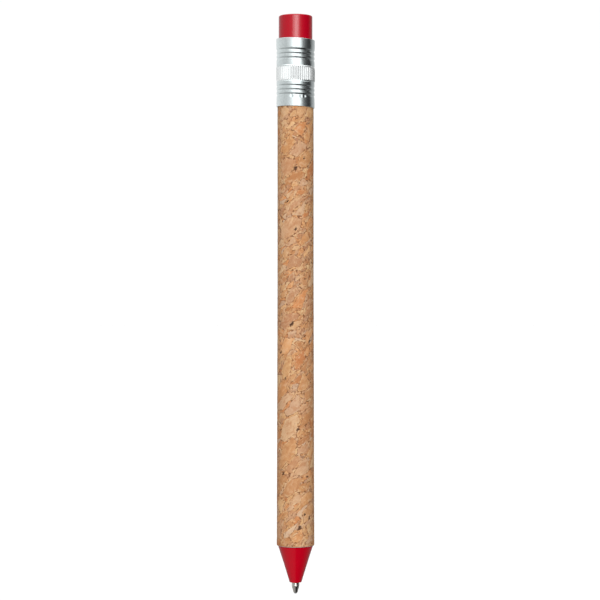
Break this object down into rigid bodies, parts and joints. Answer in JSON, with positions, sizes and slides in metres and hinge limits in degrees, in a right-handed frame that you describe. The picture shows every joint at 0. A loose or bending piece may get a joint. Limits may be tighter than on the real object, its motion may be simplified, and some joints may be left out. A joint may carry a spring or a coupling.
{
  "type": "retractable ballpoint pen",
  "caption": "Click ballpoint pen shaped like a pencil: cork-wrapped barrel, crimped metal ferrule, eraser-shaped push button and a red nose cone, with refill, spring and cam mechanism inside.",
  "frame": {"origin": "lowest point of the writing ball with the point out, on the pen's axis", "axes": "+Z along the pen's axis from the writing point to the push button"},
  "size_m": [0.0108, 0.0108, 0.1596],
  "materials": {
    "push_button": "satin moulded red plastic",
    "ferrule": "bright rolled sheet",
    "cork_sleeve": "bare agglomerated cork",
    "barrel_tube": "rolled kraft paper",
    "rear_bush": "moulded white plastic",
    "front_bush": "moulded white plastic",
    "nose_cone": "satin moulded red plastic",
    "cam_guide": "moulded white plastic",
    "cam_plunger": "moulded white plastic",
    "cam_rotor": "moulded white plastic",
    "return_spring": "drawn spring wire",
    "refill_tube": "natural translucent plastic",
    "ink_column": "blue ballpoint ink",
    "refill_point": "turned nickel silver",
    "writing_ball": "polished carbide"
  },
  "bodies": {
    "barrel": {"cork_sleeve": "cork_sleeve", "barrel_tube": "barrel_tube", "ferrule": "ferrule", "nose_cone": "nose_cone", "front_bush": "front_bush", "rear_bush": "rear_bush", "cam_guide": "cam_guide", "return_spring": "return_spring"},
    "button": {"push_button": "push_button", "cam_plunger": "cam_plunger"},
    "refill": {"refill_tube": "refill_tube", "ink_column": "ink_column", "refill_point": "refill_point"},
    "rotor": {"cam_rotor": "cam_rotor"},
    "ball": {"writing_ball": "writing_ball"}
  },
  "joints": [
    {"name": "button_press", "type": "slide", "parent": "barrel", "child": "button", "axis": [0, 0, 1], "range_m": [-0.0009, 0.0052], "stiffness_N_per_m": 150, "springref_m": 0.0142},
    {"name": "refill_slide", "type": "slide", "parent": "barrel", "child": "refill", "axis": [0, 0, 1], "range_m": [-0.0009, 0.0052], "deforming": ["return_spring"]},
    {"name": "rotor_index", "type": "hinge", "parent": "refill", "child": "rotor", "pos_m": [0, 0, 0.11], "axis": [0, 0, 1], "range_deg": [-7.8, 45]},
    {"name": "ball_roll", "type": "hinge", "parent": "refill", "child": "ball", "pos_m": [0, 0, 0.0005], "axis": [1, 0, 0], "continuous": true}
  ],
  "couplings": [
    {"joint": "refill_slide", "follows": "button_press", "ratio": 1},
    {"joint": "rotor_index", "follows": "button_press", "rad_per_m": 151}
  ]
}
